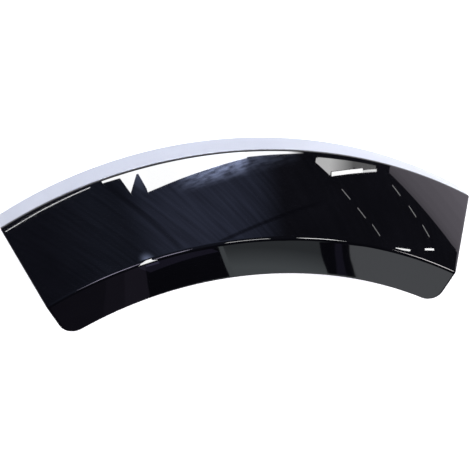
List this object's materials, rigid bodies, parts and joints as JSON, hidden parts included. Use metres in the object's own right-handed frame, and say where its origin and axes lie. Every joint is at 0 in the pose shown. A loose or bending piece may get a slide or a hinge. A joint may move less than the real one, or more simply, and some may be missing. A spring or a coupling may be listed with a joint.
{
  "type": "door handle",
  "caption": "Arc-shaped pull handle for a round dryer door: a folded gloss-black front with an overhanging finger lip, on a silver ribbed base that is screwed to the door.",
  "frame": {"origin": "midway between the two door screw holes, on the seat plane at the door", "axes": "+X along the chord, +Y outwards from the middle of the round door, +Z out of the door towards the user"},
  "size_m": [0.222, 0.0718, 0.0517],
  "materials": {
    "gloss_black": "polished",
    "satin_silver": "satin",
    "screw_steel": "zinc plated"
  },
  "bodies": {
    "root": {"front_shell": "gloss_black", "base_frame": "satin_silver", "shell_screws": "screw_steel"}
  },
  "joints": []
}
